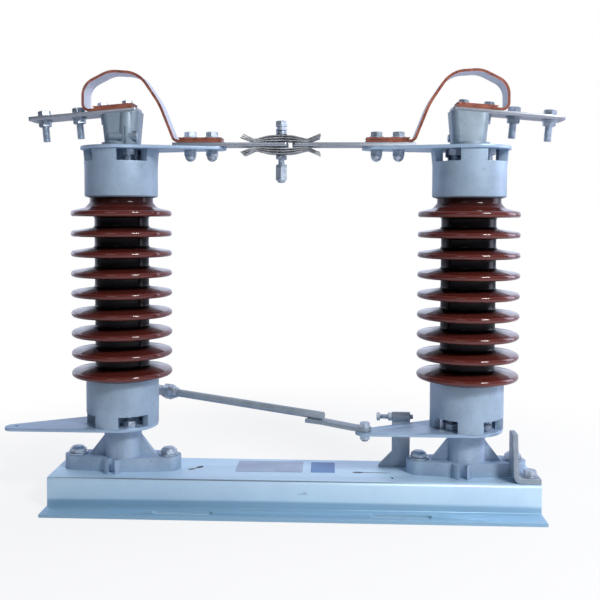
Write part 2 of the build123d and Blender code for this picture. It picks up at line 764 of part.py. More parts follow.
def link_tongue_bolt():
    """Head and shank of the bolt in the tongue; it ends at the tongue's underside."""
    bolt = hexagon(link_bolt_radius * bolt_flats_ratio, link_bolt_radius * bolt_head_ratio)
    bolt += rod(link_bolt_radius * 1.9, -1, 0)
    bolt = Pos(0, 0, 1) * bolt + rod(link_bolt_radius, -link_tongue_thickness, 1)
    return Pos(link_end[0], link_end[1], link_tongue_top) * bolt


def lever_nut():
    """Nut and thread end under the lever's tip."""
    height = link_bolt_radius * nut_height_ratio
    nut = Pos(0, 0, -height) * hexagon(link_bolt_radius * bolt_flats_ratio, height)
    nut += rod(link_bolt_radius, -height - 3, lever_thickness)
    return Pos(lever_tip_x, lever_tip_y, lever_level) * nut


# ---------------------------------------------------------------- travel stops
def open_stop():
    """Angle bracket that the right lever comes up to when the switch is open."""
    front = stop_front_inset - base_top_width / 2
    leg_outline = [(front, 0), (front + stop_leg_foot_width, 0)]
    leg_outline += [(front + stop_leg_foot_width, stop_gusset_rise), (front + stop_leg_top_width, stop_leg_rise)]
    leg_outline += [(front, stop_leg_rise)]
    foot_run = stop_leg_thickness + stop_foot_length
    outline = extrude(Plane.YZ * make_face(Polyline(*leg_outline, close=True)), foot_run * 2, both=True)
    middle = stop_leg_thickness / 2
    path = [(middle - stop_leg_lean, stop_leg_rise + 1), (middle, middle), (foot_run, middle)]
    angle = make_face(FilletPolyline(*path, radius=stop_bend).wire().offset_2d(middle, side=Side.BOTH))
    angle = extrude(Plane.XZ * angle, base_top_width, both=True)
    angle &= Pos(foot_run / 2 - stop_leg_thickness, 0, stop_leg_rise / 2) * Box(
        foot_run + stop_leg_thickness * 2, base_top_width, stop_leg_rise
    )
    bracket = Pos(half_spacing + stop_leg_offset, 0, base_height) * (angle & outline)
    hole = rod(stop_bolt_radius + hole_clearance, base_height - 1, base_height + stop_leg_thickness + 1)
    return bracket - Pos(half_spacing + stop_bolt_x, stop_bolt_y, 0) * hole


def closed_stop():
    """Post behind the right lever with a threaded barrel for the closed-stop screw."""
    leg = Pos(0, post_front + post_thickness / 2, post_rise / 2) * Box(post_width, post_thickness, post_rise)
    foot_middle = post_front + post_foot_depth / 2
    foot = Pos(0, foot_middle, post_thickness / 2) * Box(post_width, post_foot_depth, post_thickness)
    edge = -post_width / 2
    corners = [(edge, 0), (edge - post_gusset_length, 0), (edge - post_gusset_length, 3), (edge, post_gusset_rise)]
    gusset = extrude(Plane.XZ * make_face(Polyline(*corners, close=True)), -post_thickness)
    gusset = Pos(0, post_front, 0) * gusset
    barrel = Pos(0, post_front + post_thickness / 2, post_rise) * Rot(0, 90, 0) * Cylinder(
        post_barrel_radius, post_width
    )
    bore = Pos(0, post_front + post_thickness / 2, post_rise) * Rot(0, 90, 0) * Cylinder(
        stop_screw_radius + hole_clearance, post_width * 2
    )
    post = Pos(half_spacing + post_offset, 0, base_height) * (leg + foot + gusset + barrel - bore)
    hole = rod(stop_bolt_radius + hole_clearance, base_height - 1, base_height + post_thickness + 1)
    return post - Pos(half_spacing + post_offset, post_bolt_y, 0) * hole


def stop_screw():
    """Screw through the barrel of the closed stop, head on the side away from the column."""
    flats = stop_screw_radius * bolt_flats_ratio
    head_height = stop_screw_radius * bolt_head_ratio
    nut_height = stop_screw_radius * nut_height_ratio
    screw = rod(stop_screw_radius, 0, stop_screw_length)
    screw += Pos(0, 0, -head_height) * hexagon(flats, head_height)
    screw += Pos(0, 0, stop_screw_lead - nut_height - sliding_gap) * hexagon(flats, nut_height)
    tip = half_spacing + post_offset - post_width / 2 - stop_screw_lead
    return Pos(tip, post_front + post_thickness / 2, base_height + post_rise) * Rot(0, 90, 0) * screw


def stop_bolts():
    """The bolts that hold both stops to the base."""
    bracket_bolt = upright_bolt(stop_bolt_radius, stop_leg_thickness + base_wall, stop_bolt_tail)
    post_bolt = upright_bolt(stop_bolt_radius, post_thickness + base_wall, stop_bolt_tail)
    bolts = Pos(half_spacing + stop_bolt_x, stop_bolt_y, base_height + stop_leg_thickness) * bracket_bolt
    return bolts + Pos(half_spacing + post_offset, post_bolt_y, base_height + post_thickness) * post_bolt


# ---------------------------------------------------------------- build
def facing(side, piece):
    """Pieces are drawn with the blade along +X; the right column's are turned to face left."""
    return piece if side == "left" else Rot(0, 0, 180) * piece


def column_nodes(side, axis_x, foot_turn, blade_length, contact_hole):
    """All the pieces that stand on one insulator axis."""
    standing = {
        "bearing_seat": bearing_seat(),
        "bearing_bolts": bearing_bolts(),
        "lever_plate": lever_plate(foot_turn),
        "lower_bolts": Pos(0, 0, lower_fitting_level) * fitting_bolts(foot_turn, lever_thickness),
        "porcelain": porcelain(),
        "upper_fitting": upper_fitting(foot_turn),
        "upper_bolts": Pos(0, 0, upper_fitting_level) * mirror(
            fitting_bolts(foot_turn, blade_plate_thickness), about=Plane.XY
        ),
    }
    if side == "left":
        standing["lower_fitting"] = left_lower_fitting()
        standing["link_arm_bolt"] = link_arm_bolt()
    else:
        standing["lower_fitting"] = Pos(0, 0, lower_fitting_level) * end_fitting(foot_turn)
        standing["lever_nut"] = lever_nut()
    blade_turn = foot_turn if side == "left" else foot_turn + 180
    turned = {
        "blade_plate": blade_plate(blade_turn),
        "blade": blade(blade_length, contact_hole),
        "blade_bolts": blade_bolts(),
        "terminal_head": terminal_head(),
        "terminal_bar": terminal_bar(),
        "head_bolts": head_bolts(),
        "terminal_bolts": terminal_bolts(),
        "strap": strap(),
    }
    placed = {name: Pos(axis_x, 0, 0) * piece for name, piece in standing.items()}
    for name, piece in turned.items():
        placed[name] = Pos(axis_x, 0, 0) * facing(side, piece)
    return {f"{side}_{name}": piece for name, piece in placed.items()}


nodes = {"base_frame": base_frame(), "nameplate": nameplate()}
contact_hole = half_spacing + contact_centre
nodes.update(column_nodes("left", -half_spacing, left_foot_turn, left_blade_length, contact_hole))
nodes.update(column_nodes("right", half_spacing, right_foot_turn, right_blade_length, None))
nodes["upper_contact_fingers"] = upper_fingers()
nodes["lower_contact_fingers"] = lower_fingers()
nodes["contact_bolt"] = contact_bolt()
nodes["contact_springs"] = contact_springs()
nodes["link_rod"] = link_rod()
nodes["link_coupling"] = link_coupling()
nodes["link_tongue_bolt"] = link_tongue_bolt()
nodes["open_stop"] = open_stop()
nodes["closed_stop"] = closed_stop()
nodes["stop_screw"] = stop_screw()
nodes["stop_bolts"] = stop_bolts()

os.makedirs("parts", exist_ok=True)
for name, shape in nodes.items():
    export_step(shape, f"parts/{name}.step")
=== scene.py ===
import bpy
import bmesh
import json
import math
from mathutils import Matrix, Vector

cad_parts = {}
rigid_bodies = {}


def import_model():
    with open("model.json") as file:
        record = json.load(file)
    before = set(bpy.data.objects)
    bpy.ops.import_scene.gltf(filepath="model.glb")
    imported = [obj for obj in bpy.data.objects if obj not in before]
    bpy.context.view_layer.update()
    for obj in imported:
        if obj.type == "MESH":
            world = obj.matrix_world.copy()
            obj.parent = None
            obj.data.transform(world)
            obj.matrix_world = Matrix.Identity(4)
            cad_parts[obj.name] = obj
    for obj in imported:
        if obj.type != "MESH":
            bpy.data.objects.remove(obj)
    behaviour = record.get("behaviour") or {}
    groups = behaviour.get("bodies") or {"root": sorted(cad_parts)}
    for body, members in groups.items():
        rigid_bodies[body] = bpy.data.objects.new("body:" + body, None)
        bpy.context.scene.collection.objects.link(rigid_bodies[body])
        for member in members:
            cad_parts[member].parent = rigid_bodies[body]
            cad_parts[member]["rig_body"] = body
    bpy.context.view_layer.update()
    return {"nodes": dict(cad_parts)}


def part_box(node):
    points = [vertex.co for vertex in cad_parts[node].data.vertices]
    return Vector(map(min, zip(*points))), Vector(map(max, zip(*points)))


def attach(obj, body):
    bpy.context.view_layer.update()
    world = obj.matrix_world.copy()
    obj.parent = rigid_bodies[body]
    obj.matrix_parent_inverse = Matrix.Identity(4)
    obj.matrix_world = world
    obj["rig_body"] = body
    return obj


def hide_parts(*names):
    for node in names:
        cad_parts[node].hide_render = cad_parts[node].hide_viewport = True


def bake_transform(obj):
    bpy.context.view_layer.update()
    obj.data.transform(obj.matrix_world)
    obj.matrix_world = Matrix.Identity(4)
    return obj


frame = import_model()


# ---------------------------------------------------------------- base frame
# A top-hat section bent from 5 mm steel plate, slotted in its feet and hot-dip galvanised after bending.
# The zinc shows as a pale blue-grey skin with soft cloudy patches and shop scuffs, darker and bluer towards the
# bottom.
class Wire:
    """A shader socket that takes part in ordinary sums."""

    def __init__(self, tree, socket):
        self.tree = tree
        self.socket = socket

    def sum_of(self, other, kind, turned=False):
        node = self.tree.nodes.new("ShaderNodeMath")
        node.operation = kind
        pair = (other, self) if turned else (self, other)
        for slot, value in zip(node.inputs, pair):
            if isinstance(value, Wire):
                self.tree.links.new(value.socket, slot)
            else:
                slot.default_value = value
        return Wire(self.tree, node.outputs[0])

    def __add__(self, other):
        return self.sum_of(other, "ADD")

    def __radd__(self, other):
        return self.sum_of(other, "ADD", True)

    def __sub__(self, other):
        return self.sum_of(other, "SUBTRACT")

    def __rsub__(self, other):
        return self.sum_of(other, "SUBTRACT", True)

    def __mul__(self, other):
        return self.sum_of(other, "MULTIPLY")

    def __rmul__(self, other):
        return self.sum_of(other, "MULTIPLY", True)

    def __pow__(self, other):
        return self.sum_of(other, "POWER")


class Finish:
    """A material under construction: one Principled shader and the nodes that feed it."""

    def __init__(self, name, **fixed):
        self.material = bpy.data.materials.new(name)
        self.material.use_nodes = True
        self.tree = self.material.node_tree
        self.shader = self.tree.nodes["Principled BSDF"]
        for socket, value in fixed.items():
            self.shader.inputs[socket.replace("_", " ")].default_value = value
        self.place = self.add("ShaderNodeTexCoord", out="Object")

    def add(self, kind, settings=None, out=0, **sockets):
        """Adds one node: its settings, then values or links of its sockets, called by name or as _0, _1."""
        node = self.tree.nodes.new(kind)
        for key, value in (settings or {}).items():
            if key == "stops":
                ramp = node.color_ramp
                while len(ramp.elements) < len(value):
                    ramp.elements.new(0.5)
                for element, (at, colour) in zip(ramp.elements, value):
                    element.position = at
                    element.color = colour if len(colour) == 4 else (*colour, 1)
            else:
                setattr(node, key, value)
        for key, value in sockets.items():
            socket = node.inputs[int(key[1:]) if key[1:].isdigit() else key.replace("_", " ")]
            if isinstance(value, Wire):
                self.tree.links.new(value.socket, socket)
            else:
                socket.default_value = value
        return Wire(self.tree, node.outputs[out])

    def noise(self, scale, detail, rough, stretch=None):
        """Cloudy noise, 0 to 1, with an optional stretch along the row's axes."""
        place = self.place
        if stretch:
            place = self.add("ShaderNodeMapping", Vector=place, Scale=stretch)
        return self.add("ShaderNodeTexNoise", Vector=place, Scale=scale, Detail=detail, Roughness=rough)

    def between(self, value, low, high):
        """Where value lies between two levels, 0 to 1 and smoothed."""
        return self.add("ShaderNodeMapRange", {"interpolation_type": "SMOOTHSTEP"}, Value=value,
                        From_Min=low, From_Max=high)

    def patch(self, centre, size, turn):
        """1 inside an ellipsoid round a place, fading to 0 at its rim."""
        near = self.add("ShaderNodeMapping", {"vector_type": "TEXTURE"}, Vector=self.place, Location=centre,
                        Rotation=(0, 0, turn), Scale=size)
        away = self.add("ShaderNodeVectorMath", {"operation": "LENGTH"}, "Value", _0=near)
        return 1.0 - self.between(away, 0.7, 1.0)

    def mix(self, share, first, second):
        """Two colours mixed by a share from 0 to 1."""
        node = self.tree.nodes.new("ShaderNodeMix")
        node.data_type = "RGBA"
        for socket, value in ((node.inputs[0], share), (node.inputs[6], first), (node.inputs[7], second)):
            if isinstance(value, Wire):
                self.tree.links.new(value.socket, socket)
            else:
                socket.default_value = value if isinstance(value, float) else (*value, 1)
        return Wire(self.tree, node.outputs[2])

    def feed(self, **sockets):
        """Links what changes over the surface to the shader."""
        for key, value in sockets.items():
            self.tree.links.new(value.socket, self.shader.inputs[key.replace("_", " ")])

    def bump(self, height, depth, strength):
        """Raises the surface by up to depth, in metres."""
        self.feed(Normal=self.add("ShaderNodeBump", Height=height, Distance=depth, Strength=strength))


# Vertices closer than MERGE become one, faces less than FLAT apart become one, and edges past SHARP are rounded.
MERGE = 0.00002
FLAT = math.radians(0.6)
SHARP = math.radians(28)


def cladding(node, name, finish, round_off, steps=2):
    """A copy of a machined piece with its doubles merged and its sharp edges rounded off, in one finish."""
    source = frame["nodes"][node]
    form = bmesh.new()
    form.from_mesh(source.data)
    bmesh.ops.remove_doubles(form, verts=form.verts, dist=MERGE)
    bmesh.ops.dissolve_limit(form, angle_limit=FLAT, verts=form.verts, edges=form.edges)
    mesh = bpy.data.meshes.new(name)
    form.to_mesh(mesh)
    form.free()
    piece = bpy.data.objects.new(name, mesh)
    bpy.context.scene.collection.objects.link(piece)
    mesh.materials.append(finish.material)
    for face in mesh.polygons:
        face.use_smooth = True
    edge = piece.modifiers.new("edges", "BEVEL")
    edge.width = round_off
    edge.segments = steps
    edge.limit_method = "ANGLE"
    edge.angle_limit = SHARP
    edge.harden_normals = True
    edge.use_clamp_overlap = True
    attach(piece, source["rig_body"])
    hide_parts(node)
    return piece


def galvanised(name, pale, dark, cloud, rough, metal, marks=()):
    """Hot-dip zinc: cloudy patches, fine crystal mottle, thin runs and a few dull scuffs."""
    zinc = Finish(name, Specular_IOR_Level=0.5)
    clouds = zinc.noise(cloud, 4.0, 0.55)
    mottle = zinc.noise(cloud * 9, 3.0, 0.6)
    crystals = zinc.add("ShaderNodeTexVoronoi", {"feature": "F1"}, "Color", Vector=zinc.place, Scale=cloud * 12)
    grey = zinc.add("ShaderNodeSeparateColor", None, 0, Color=crystals)
    share = zinc.between(clouds * 0.78 + mottle * 0.2 + grey * 0.04, 0.30, 0.70)
    skin = zinc.mix(share, dark, pale)
    scuffs = zinc.between(zinc.noise(cloud * 2.2, 6.0, 0.7, (1.0, 0.25, 1.0)), 0.66, 0.74)
    skin = zinc.mix(scuffs * 0.3, skin, tuple(c * 0.7 for c in dark))
    for centre, size, turn, colour, strength in marks:
        skin = zinc.mix(zinc.patch(centre, size, turn) * strength, skin, colour)
    zinc.feed(Base_Color=skin, Roughness=rough + 0.16 * share - 0.04 * grey, Metallic=metal + 0.15 * scuffs)
    zinc.bump(clouds * 0.6 + mottle * 0.4, 0.0004, 0.35)
    return zinc


# The marks on the base, each with its centre, size, turn, colour and strength: a darker, bluer band along the
# bottom, the scuff on the front wall, the inked strokes on the top, and painted shade along the top's front edge.
INK = (0.010, 0.010, 0.013)
base_marks_and_shade = [
    ((0, 0, 0.004), (0.9, 0.2, 0.017), 0.0, (0.23, 0.43, 0.60), 0.8),
    ((0.018, -0.058, 0.030), (0.011, 0.020, 0.0011), 0.0, (0.24, 0.32, 0.40), 0.5),
    ((0.021, -0.058, 0.032), (0.004, 0.020, 0.0024), 0.0, (0.24, 0.32, 0.40), 0.35),
    ((-0.164, -0.006, 0.050), (0.0085, 0.0042, 0.006), 0.5, INK, 1.0),
    ((-0.153, 0.005, 0.050), (0.0090, 0.0050, 0.006), 0.9, INK, 1.0),
    ((0.1265, -0.010, 0.050), (0.036, 0.0022, 0.006), 0.0, INK, 0.85),
    ((0.105, -0.010, 0.050), (0.0105, 0.0048, 0.006), 0.0, INK, 0.9),
    ((0.158, -0.036, 0.050), (0.0022, 0.0046, 0.006), 0.0, INK, 0.95),
    # Painted shade: a dark line along the bend at the top's front edge.
    ((-0.100, -0.0572, 0.0490), (0.34, 0.0017, 0.0017), 0.0, (0.12, 0.16, 0.21), 0.8),
]
base_zinc = galvanised("base_zinc", (0.61, 0.82, 0.97), (0.54, 0.74, 0.92), 7.0, 0.34, 0.22, base_marks_and_shade)
cladding("base_frame", "base_channel", base_zinc, 0.0008)

# ---------------------------------------------------------------- nameplate and blank label
# A thin bare metal plate with softened corners, held flat on the base, and beside it a plain blue vinyl
# label. Both are blank: neither carries a word, a mark or a sign.
def made(name, form, finishes, body, *nodes, sharp=32):
    """Turns a finished form into a piece: normals out, smooth with sharp corners kept, riding on its body."""
    bmesh.ops.recalc_face_normals(form, faces=form.faces)
    mesh = bpy.data.meshes.new(name)
    form.to_mesh(mesh)
    form.free()
    for finish in finishes:
        mesh.materials.append(finish.material)
    for face in mesh.polygons:
        face.use_smooth = True
    mesh.set_sharp_from_angle(angle=math.radians(sharp))
    piece = bpy.data.objects.new(name, mesh)
    bpy.context.scene.collection.objects.link(piece)
    if body:
        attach(piece, body)
    if nodes:
        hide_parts(*nodes)
    return piece


def slab(form, low, high, soften):
    """A box between two corners, with its upright edges rounded off."""
    size = [h - l for l, h in zip(low, high)]
    middle = [(l + h) / 2 for l, h in zip(low, high)]
    placed = Matrix.Translation(middle) @ Matrix.Diagonal((*size, 1))
    corners = bmesh.ops.create_cube(form, size=1, matrix=placed)["verts"]
    edges = {e for v in corners for e in v.link_edges if abs(e.verts[0].co.z - e.verts[1].co.z) > 1e-6}
    bmesh.ops.bevel(form, geom=list(edges), offset=soften, segments=4, profile=0.5, affect="EDGES", material=-1)


BASE_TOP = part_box("nameplate")[0][2]
plate_metal = Finish("plate_metal", Metallic=0.35)
brushing = plate_metal.noise(60.0, 4.0, 0.6, (0.08, 1.0, 1.0))
smears = plate_metal.noise(22.0, 3.0, 0.5)
plate_metal.feed(Base_Color=plate_metal.mix(plate_metal.between(smears, 0.4, 0.62), (0.38, 0.47, 0.61),
                                            (0.45, 0.54, 0.67)),
                 Roughness=0.32 + 0.2 * brushing)
plate_metal.bump(brushing, 0.00015, 0.3)
cladding("nameplate", "nameplate_sheet", plate_metal, 0.0003)

label_form = bmesh.new()
slab(label_form, (0.029, -0.014, BASE_TOP), (0.068, 0.041, BASE_TOP + 0.0003), 0.002)
vinyl = Finish("blue_vinyl", Coat_Weight=0.3, Coat_Roughness=0.25)
fading = vinyl.noise(45.0, 3.0, 0.55)
vinyl.feed(Base_Color=vinyl.mix(fading, (0.070, 0.200, 0.48), (0.105, 0.265, 0.58)), Roughness=0.38 + 0.15 * fading)
vinyl.bump(fading, 0.0001, 0.2)
made("blank_label", label_form, [vinyl], "base")

# ---------------------------------------------------------------- bearing seats
# Iron castings bolted through the top of the base. The sand-cast skin is galvanised, so it stays a little rough.


def cast(name, pale, dark, grain=220.0, rough=0.5, metal=0.4, depth=0.0007):
    """Sand-cast and galvanised skin: fine grain, shallow swells and dull patches in the hollows."""
    skin = Finish(name, Specular_IOR_Level=0.5)
    swells = skin.noise(24.0, 3.0, 0.5)
    grit = skin.noise(grain, 4.0, 0.65)
    pits = skin.between(skin.noise(grain * 0.5, 2.0, 0.5), 0.26, 0.36)
    share = skin.between(swells * 0.75 + grit * 0.25, 0.35, 0.65)
    tone = skin.mix(share, dark, pale)
    tone = skin.mix((1.0 - pits) * 0.25, tone, tuple(c * 0.55 for c in dark))
    skin.feed(Base_Color=tone, Roughness=rough + 0.18 * grit, Metallic=metal + 0.1 * share)
    skin.bump(swells * 0.35 + grit * 0.4 + pits * 0.25, depth, 0.5)
    return skin


seat_skin = cast("seat_skin", (0.42, 0.54, 0.68), (0.31, 0.41, 0.53))
for side in ("left", "right"):
    cladding(side + "_bearing_seat", side + "_seat_casting", seat_skin, 0.0018, 3)

# ---------------------------------------------------------------- bolts
# Forged hex bolts with rolled threads, pressed washers and hex nuts, all zinc plated. The plating is bright
# on the flats, dull where spanners bit, and darker down in the threads.
def lathe(form, place, rings, count=48):
    """Joins rings of (radius, level) about the place's own Z. Either may be a function of the angle."""
    rows = []
    for radius, level in rings:
        row = []
        for index in range(count):
            angle = math.tau * index / count
            reach = radius(angle) if callable(radius) else radius
            height = level(angle) if callable(level) else level
            row.append(form.verts.new(place @ Vector((reach * math.cos(angle), reach * math.sin(angle), height))))
        rows.append(row)
    for lower, upper in zip(rows, rows[1:]):
        for index in range(count):
            form.faces.new((lower[index - 1], lower[index], upper[index], upper[index - 1]))
    form.faces.new(rows[0])
    form.faces.new(rows[-1])


def hexagon(form, place, flats, low, high, both=False):
    """Hex prism whose top corners, or both ends' corners, are turned off at 30 degrees."""
    inner = flats * 0.475

    def reach(angle):
        return flats / 2 / math.cos((angle + math.pi / 6) % (math.pi / 3) - math.pi / 6)

    def cut(angle):
        return (reach(angle) - inner) * math.tan(math.pi / 6)

    bottom = [(inner, low), (reach, lambda angle: low + cut(angle))] if both else [(reach, low)]
    lathe(form, place, bottom + [(reach, lambda angle: high - cut(angle)), (inner, high)])


def disc(form, place, radius, low, high, edge=0.0003):
    """Washer, pin or collar with its rims broken."""
    rings = [(radius - edge, low), (radius, low + edge), (radius, high - edge), (radius - edge, high)]
    lathe(form, place, rings)


def thread(form, place, radius, low, high):
    """Screw thread with a coarse pitch and a small lead-in at its low end."""
    pitch = radius * 0.29
    rings = [(radius - pitch, low)]
    for turn in range(int((high - low) / pitch)):
        rings += [(radius, low + pitch * (turn + 0.5)), (radius - pitch * 0.61, low + pitch * (turn + 1))]
    lathe(form, place, rings + [(radius, high)], 32)


def upright_bolt(form, place, radius, grip, tail=0.0, dome=False, nut_washer=False, crown=False):
    """Bolt with its washer seated on the place's z = 0 and its nut below the grip."""
    washer = radius * 0.35
    nut = -grip - radius * 1.6
    disc(form, place, radius * 2, 0, washer)
    disc(form, place, radius * 1.42, washer, washer + radius * 0.06, radius * 0.02)
    top = washer + radius * (0.8 if crown else 1.3)
    hexagon(form, place, radius * 3, washer + radius * 0.06, top)
    if crown:
        lathe(form, place, [(radius * share, top + radius * rise) for share, rise in
                            ((1.42, 0), (1.3, 0.2), (1.05, 0.36), (0.7, 0.45), (0.3, 0.49), (0.03, 0.5))])
    hexagon(form, place, radius * 3, nut, -grip - (washer if nut_washer else 0), True)
    if nut_washer:
        disc(form, place, radius * 2, -grip - washer, -grip)
    if tail:
        thread(form, place, radius, nut - tail, nut + radius * 0.2)
    if dome:
        cap = radius * 1.5 - 0.0003
        steps = [math.pi / 2 * share / 8 for share in range(8)]
        lathe(form, place, [(cap * math.cos(a), nut - cap * math.sin(a)) for a in steps] + [(cap * 0.02, nut - cap)])


def at(x, y, z):
    """A place, upright."""
    return Matrix.Translation((x, y, z))


def flip(up):
    """Turns a place's heights over when up is -1, and leaves them when it is 1."""
    return Matrix.Diagonal((1, 1, up, 1))


# Lays an upright piece along X.
LYING = Matrix.Rotation(math.pi / 2, 4, "Y")


plating = Finish("bolt_plating", Metallic=0.75)
wear = plating.noise(150.0, 4.0, 0.6)
film = plating.noise(30.0, 2.0, 0.5)
rubbed = plating.between(wear * 0.6 + film * 0.4, 0.4, 0.58)
plating.feed(Base_Color=plating.mix(rubbed, (0.33, 0.39, 0.46), (0.56, 0.64, 0.73)), Roughness=0.26 + 0.22 * film)
plating.bump(wear, 0.0002, 0.3)

# Radii of the bolt sizes used, then where the bolts sit: on the base, on the columns and on the sloping heads.
M8, M10, M12, M16 = 0.004, 0.005, 0.006, 0.008
SEAT_TOP = 0.072
SEAT_BOLTS = (-0.075, 0.075)
STOP_BRACKET_BOLT = (0.371, -0.040, 0.058)
AXIS = 0.278
PLATE = 0.005
LEVER_TOP = 0.126
LEVER_PIVOT = (0.114, -0.042)
TONGUE_TOP = 0.1323
LINK_ARM_TOP = (-0.320, 0.164, 0.1744)
CARRIER_UNDER = 0.566
STUD_CIRCLE = 0.037
STRAP_FOOT_TOP = 0.585
BLADE_BOLTS = (0.112, 0.147)
CONTACT_X = -0.020
HEAD_TOP = 0.6236
DROOP = math.radians(5)
BAR = 0.006
HEAD_PACK = 0.014
LINE_BOLTS = (-0.124, -0.068)
HEAD_BOLTS = (-0.028, 0.012)
CLAMP_FACE = (0.025, -0.023, 0.5866)
facing = {"left": 1, "right": -1}
foot_turn = {"left": -14, "right": -2}


def on_column(side, x=0.0, y=0.0, z=0.0):
    """A place on one column's axis, drawn with its blade along +X and turned to face the other column."""
    sign = facing[side]
    return at(-AXIS * sign, 0, 0) @ Matrix.Rotation(0 if sign > 0 else math.pi, 4, "Z") @ at(x, y, z)


def on_head(side, x, y, z):
    """A place on the sloping top of one terminal head."""
    return on_column(side, 0, 0, HEAD_TOP) @ Matrix.Rotation(-DROOP, 4, "Y") @ at(x, y, z)


for side, sign in facing.items():
    foot_bolts = bmesh.new()
    for offset in SEAT_BOLTS:
        upright_bolt(foot_bolts, at(-AXIS * sign + offset, 0, SEAT_TOP), M16, 0.027, 0.004, crown=True)
    made(side + "_foot_bolts", foot_bolts, [plating], "base", side + "_bearing_bolts")

    for end, level, up in (("lower", LEVER_TOP, 1), ("upper", CARRIER_UNDER, -1)):
        studs = bmesh.new()
        for index in range(4):
            bearing = math.radians(-45 + foot_turn[side] + 90 * index)
            place = at(-AXIS * sign + STUD_CIRCLE * math.cos(bearing), STUD_CIRCLE * math.sin(bearing), level)
            place = place @ flip(up)
            hexagon(studs, place, 0.018, 0, 0.0096, True)
            disc(studs, place, M12, -PLATE, 0.001)
            thread(studs, place, M12, 0.0092, 0.028)
        made(f"{side}_{end}_studs", studs, [plating], side + "_column", f"{side}_{end}_bolts")

    blade_screws = bmesh.new()
    for offset in BLADE_BOLTS:
        upright_bolt(blade_screws, on_column(side, offset, 0, STRAP_FOOT_TOP), M12, 0.019, dome=True)
    made(side + "_blade_screws", blade_screws, [plating], side + "_column", side + "_blade_bolts")

    line_bolts = bmesh.new()
    for offset in LINE_BOLTS:
        upright_bolt(line_bolts, on_head(side, offset, 0, BAR), M12, BAR, 0.024, nut_washer=True)
    made(side + "_line_bolts", line_bolts, [plating], side + "_head", side + "_terminal_bolts")

    head_screws = bmesh.new()
    for offset in HEAD_BOLTS:
        hexagon(head_screws, on_head(side, offset, 0, HEAD_PACK), 0.015, 0, 0.0065)
        disc(head_screws, on_head(side, offset, 0, 0), M10, -0.014, HEAD_PACK + 0.0001)
    clamp = on_column(side, *CLAMP_FACE) @ LYING
    hexagon(head_screws, clamp, 0.012, 0, 0.0064)
    disc(head_screws, clamp, M8, -0.034, 0.0002)
    made(side + "_head_screws", head_screws, [plating], side + "_head", side + "_head_bolts")

arm_bolt = bmesh.new()
upright_bolt(arm_bolt, at(*LINK_ARM_TOP), M16, 0.0288)
made("arm_pivot_bolt", arm_bolt, [plating], "left_column", "left_link_arm_bolt")

tongue_bolt = bmesh.new()
tongue = at(*LEVER_PIVOT, TONGUE_TOP)
disc(tongue_bolt, tongue, 0.0095, 0, 0.001, 0.0002)
hexagon(tongue_bolt, tongue, 0.015, 0.001, 0.0075)
disc(tongue_bolt, tongue, M10, -0.006, 0)
made("tongue_pivot_bolt", tongue_bolt, [plating], "cross_link", "link_tongue_bolt")

tip_nut = bmesh.new()
under_tip = at(*LEVER_PIVOT, LEVER_TOP - PLATE)
hexagon(tip_nut, under_tip, 0.015, -0.008, 0, True)
thread(tip_nut, under_tip, M10, -0.011, -0.0075)
disc(tip_nut, under_tip, M10, 0, PLATE)
made("lever_tip_nut", tip_nut, [plating], "right_column", "right_lever_nut")

screw_low, screw_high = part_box("stop_screw")
stop_y = (screw_low[1] + screw_high[1]) / 2
anchor_bolts = bmesh.new()
upright_bolt(anchor_bolts, at(*STOP_BRACKET_BOLT), M12, 0.013, 0.003)
upright_bolt(anchor_bolts, at(0.176, stop_y + 0.0165, 0.056), M12, 0.011, 0.003)
made("stop_anchor_bolts", anchor_bolts, [plating], "base", "stop_bolts")

set_screw = bmesh.new()
SCREW_LENGTH = 0.054
screw_place = at(0.1415, stop_y, 0.133) @ LYING
hexagon(set_screw, screw_place @ flip(-1), 0.012, 0, 0.0052)
hexagon(set_screw, screw_place, 0.012, 0.0133, 0.0197, True)
thread(set_screw, screw_place @ at(0, 0, SCREW_LENGTH) @ flip(-1), M8, 0, SCREW_LENGTH)
made("stop_set_screw", set_screw, [plating], "base", "stop_screw")

# Down the stud: its crowned head, three collars over the upper spring, the shank, and a domed cap nut below.
contact_stud = bmesh.new()
stud_place = at(CONTACT_X, 0, 0)
hexagon(contact_stud, stud_place, 0.017, 0.6058, 0.6122)
lathe(contact_stud, stud_place, [(0.0068, 0.6122), (0.0055, 0.6128), (0.003, 0.613), (0.0003, 0.613)])
disc(contact_stud, stud_place, 0.009, 0.5973, 0.5995)
disc(contact_stud, stud_place, 0.0074, 0.5995, 0.6032)
disc(contact_stud, stud_place, 0.009, 0.6032, 0.6058)
disc(contact_stud, stud_place, M10, 0.541, 0.600)
hexagon(contact_stud, stud_place, 0.017, 0.518, 0.541, True)
lathe(contact_stud, stud_place, [(0.0003, 0.514), (0.004, 0.5142), (0.0065, 0.5158), (0.0065, 0.5185)])
disc(contact_stud, stud_place, 0.0088, 0.541, 0.5432)
made("contact_stud", contact_stud, [plating], "left_column", "contact_bolt")


def coil(form, place, radius, wire, low, high, turns):
    """Round-wire compression spring between two levels."""
    count, around = int(turns * 28), 10
    rows = []
    for step in range(count + 1):
        angle = math.tau * turns * step / count
        level = low + wire + (high - low - wire * 2) * step / count
        row = []
        for corner in range(around):
            tilt = math.tau * corner / around
            reach = radius + wire * math.cos(tilt)
            spot = Vector((reach * math.cos(angle), reach * math.sin(angle), level + wire * math.sin(tilt)))
            row.append(form.verts.new(place @ spot))
        rows.append(row)
    for first, second in zip(rows, rows[1:]):
        for corner in range(around):
            form.faces.new((first[corner - 1], first[corner], second[corner], second[corner - 1]))
    form.faces.new(rows[0])
    form.faces.new(rows[-1])


springs = bmesh.new()
for low in (0.5893, 0.5507):
    coil(springs, stud_place, 0.0075, 0.0014, low, low + 0.008, 2.6)
made("contact_coils", springs, [plating], "left_column", "contact_springs")
cladding("link_coupling", "link_coupling_plated", plating, 0.0005)

